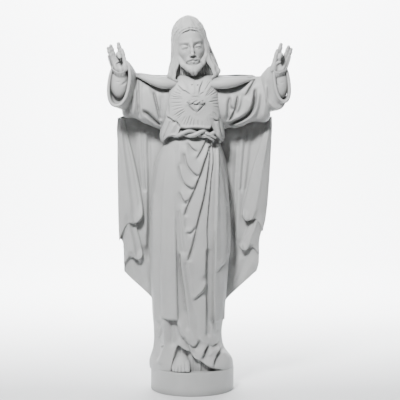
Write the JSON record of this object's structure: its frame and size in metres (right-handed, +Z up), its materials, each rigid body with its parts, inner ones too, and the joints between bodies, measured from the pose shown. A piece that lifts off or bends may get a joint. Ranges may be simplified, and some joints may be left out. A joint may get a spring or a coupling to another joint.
{
  "type": "statue",
  "caption": "Carved marble Sacred Heart figure in robe and cloak, arms held out to the sides, standing on a low round plinth.",
  "frame": {"origin": "centre of the round plinth's underside, on the floor", "axes": "+Z up, -Y the way the figure faces, +X towards the figure's own left hand"},
  "size_m": [0.5792, 0.268, 1.1968],
  "materials": {
    "marble": "matt white marble, finely rubbed"
  },
  "bodies": {
    "root": {"statue": "marble"}
  },
  "joints": []
}
